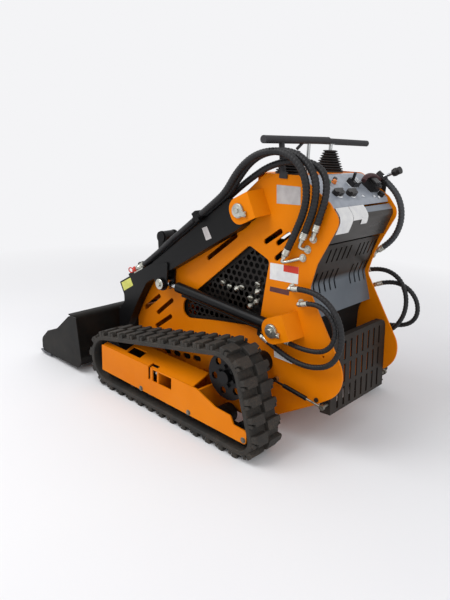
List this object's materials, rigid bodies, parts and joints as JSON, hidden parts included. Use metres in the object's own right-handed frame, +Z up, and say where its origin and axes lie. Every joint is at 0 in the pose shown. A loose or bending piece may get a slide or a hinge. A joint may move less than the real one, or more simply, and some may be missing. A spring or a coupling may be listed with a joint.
{
  "type": "compact stand-on skid steer loader on rubber tracks",
  "caption": "Small stand-on skid steer loader on rubber tracks, with lift arms, tilting bucket, hydraulic cylinders and a fold-down step.",
  "frame": {"origin": "on the ground, under the middle of the machine's length and width", "axes": "+X machine's left, -Y forward to the bucket, +Z up"},
  "size_m": [1.024, 1.7439, 1.1955],
  "materials": {
    "body_yellow": "satin orange-yellow powder coat",
    "black_paint": "satin black powder coat",
    "dark_sheet": "satin dark grey coat",
    "console_silver": "satin silver",
    "zinc_steel": "zinc plated",
    "chromed_rod": "polished",
    "edge_steel": "bare worn steel",
    "engine_iron": "cast",
    "track_rubber": "moulded rubber",
    "hose_rubber": "wrapped hose",
    "grip_rubber": "moulded grip"
  },
  "bodies": {
    "chassis": {"axle_beams_left": "body_yellow", "axle_beams_right": "body_yellow", "chassis_frame": "body_yellow", "console": "console_silver", "console_controls": "grip_rubber", "drive_handles": "grip_rubber", "engine_block": "engine_iron", "engine_mesh": "dark_sheet", "hose_fittings_left": "zinc_steel", "hose_fittings_right": "zinc_steel", "hose_joystick": "hose_rubber", "hose_lower_left_a": "hose_rubber", "hose_lower_left_b": "hose_rubber", "hose_lower_right_a": "hose_rubber", "hose_lower_right_b": "hose_rubber", "hose_upper_a": "hose_rubber", "hose_upper_b": "hose_rubber", "hose_upper_c": "hose_rubber", "idlers_left": "black_paint", "idlers_right": "black_paint", "lever_boots": "grip_rubber", "pivot_ears_left": "body_yellow", "pivot_ears_right": "body_yellow", "pivot_pins_left": "zinc_steel", "pivot_pins_right": "zinc_steel", "rear_hood": "dark_sheet", "rear_louvres": "dark_sheet", "side_plate_left": "body_yellow", "side_plate_right": "body_yellow", "sprocket_left": "black_paint", "sprocket_right": "black_paint", "top_cover": "body_yellow", "track_frame_left": "body_yellow", "track_frame_right": "body_yellow", "track_left": "track_rubber", "track_right": "track_rubber"},
    "boom": {"lift_arm_left": "black_paint", "lift_arm_right": "black_paint", "arm_crossmember": "black_paint", "aux_couplers": "black_paint", "arm_hose_clamp": "zinc_steel", "hose_arm_a": "hose_rubber", "hose_arm_b": "hose_rubber", "hose_arm_c": "hose_rubber"},
    "bucket": {"attach_plate": "black_paint", "bucket_shell": "black_paint", "cutting_edge": "edge_steel"},
    "step": {"step_platform": "black_paint"},
    "tilt_barrel": {"tilt_barrel": "black_paint"},
    "tilt_rod": {"tilt_rod": "chromed_rod"},
    "lift_barrel_left": {"lift_barrel_left": "black_paint"},
    "lift_rod_left": {"lift_rod_left": "chromed_rod"},
    "strut_barrel_left": {"strut_barrel_left": "black_paint"},
    "strut_rod_left": {"strut_rod_left": "chromed_rod"},
    "lift_barrel_right": {"lift_barrel_right": "black_paint"},
    "lift_rod_right": {"lift_rod_right": "chromed_rod"},
    "strut_barrel_right": {"strut_barrel_right": "black_paint"},
    "strut_rod_right": {"strut_rod_right": "chromed_rod"}
  },
  "joints": [
    {"name": "arm_lift", "type": "hinge", "parent": "chassis", "child": "boom", "pos_m": [0, 0.354, 0.907], "axis": [-1, 0, 0], "range_deg": [0, 80], "deforming": ["hose_upper_a", "hose_upper_b", "hose_upper_c"]},
    {"name": "bucket_tilt", "type": "hinge", "parent": "boom", "child": "bucket", "pos_m": [0, -0.418, 0.098], "axis": [1, 0, 0], "range_deg": [-10, 85]},
    {"name": "step_fold", "type": "hinge", "parent": "chassis", "child": "step", "pos_m": [0, 0.745, 0.211], "axis": [-1, 0, 0], "range_deg": [0, 86]},
    {"name": "lift_swing_left", "type": "hinge", "parent": "chassis", "child": "lift_barrel_left", "pos_m": [0.254, 0.555, 0.462], "axis": [-1, 0, 0], "range_deg": [0, 47.86], "deforming": ["hose_lower_left_a", "hose_lower_left_b"]},
    {"name": "lift_stroke_left", "type": "slide", "parent": "lift_barrel_left", "child": "lift_rod_left", "axis": [0, -0.9974, 0.0723], "range_m": [0, 0.4063]},
    {"name": "strut_swing_left", "type": "hinge", "parent": "chassis", "child": "strut_barrel_left", "pos_m": [0.247, 0.549, 0.236], "axis": [-1, 0, 0], "range_deg": [0, 12.44]},
    {"name": "strut_stroke_left", "type": "slide", "parent": "strut_barrel_left", "child": "strut_rod_left", "axis": [0, 0.9899, -0.1414], "range_m": [-0.0398, 0]},
    {"name": "lift_swing_right", "type": "hinge", "parent": "chassis", "child": "lift_barrel_right", "pos_m": [-0.254, 0.555, 0.462], "axis": [-1, 0, 0], "range_deg": [0, 47.86], "deforming": ["hose_lower_right_a", "hose_lower_right_b"]},
    {"name": "lift_stroke_right", "type": "slide", "parent": "lift_barrel_right", "child": "lift_rod_right", "axis": [0, -0.9974, 0.0723], "range_m": [0, 0.4063]},
    {"name": "strut_swing_right", "type": "hinge", "parent": "chassis", "child": "strut_barrel_right", "pos_m": [-0.247, 0.549, 0.236], "axis": [-1, 0, 0], "range_deg": [0, 12.44]},
    {"name": "strut_stroke_right", "type": "slide", "parent": "strut_barrel_right", "child": "strut_rod_right", "axis": [0, 0.9899, -0.1414], "range_m": [-0.0398, 0]},
    {"name": "tilt_swing", "type": "hinge", "parent": "boom", "child": "tilt_barrel", "pos_m": [0, -0.39, 0.66], "axis": [1, 0, 0], "range_deg": [-6.14, 1.6]},
    {"name": "tilt_stroke", "type": "slide", "parent": "tilt_barrel", "child": "tilt_rod", "axis": [0, -0.1733, -0.9849], "range_m": [-0.0233, 0.1833]}
  ],
  "couplings": [
    {"joint": "lift_swing_left", "follows": "arm_lift", "ratio": 0.58574},
    {"joint": "lift_stroke_left", "follows": "arm_lift", "m_per_rad": 0.28953},
    {"joint": "strut_swing_left", "follows": "step_fold", "ratio": 0.13302},
    {"joint": "strut_stroke_left", "follows": "step_fold", "m_per_rad": -0.025863},
    {"joint": "lift_swing_right", "follows": "arm_lift", "ratio": 0.58574},
    {"joint": "lift_stroke_right", "follows": "arm_lift", "m_per_rad": 0.28953},
    {"joint": "strut_swing_right", "follows": "step_fold", "ratio": 0.13302},
    {"joint": "strut_stroke_right", "follows": "step_fold", "m_per_rad": -0.025863},
    {"joint": "tilt_swing", "follows": "bucket_tilt", "ratio": -0.060477},
    {"joint": "tilt_stroke", "follows": "bucket_tilt", "m_per_rad": 0.12222}
  ]
}
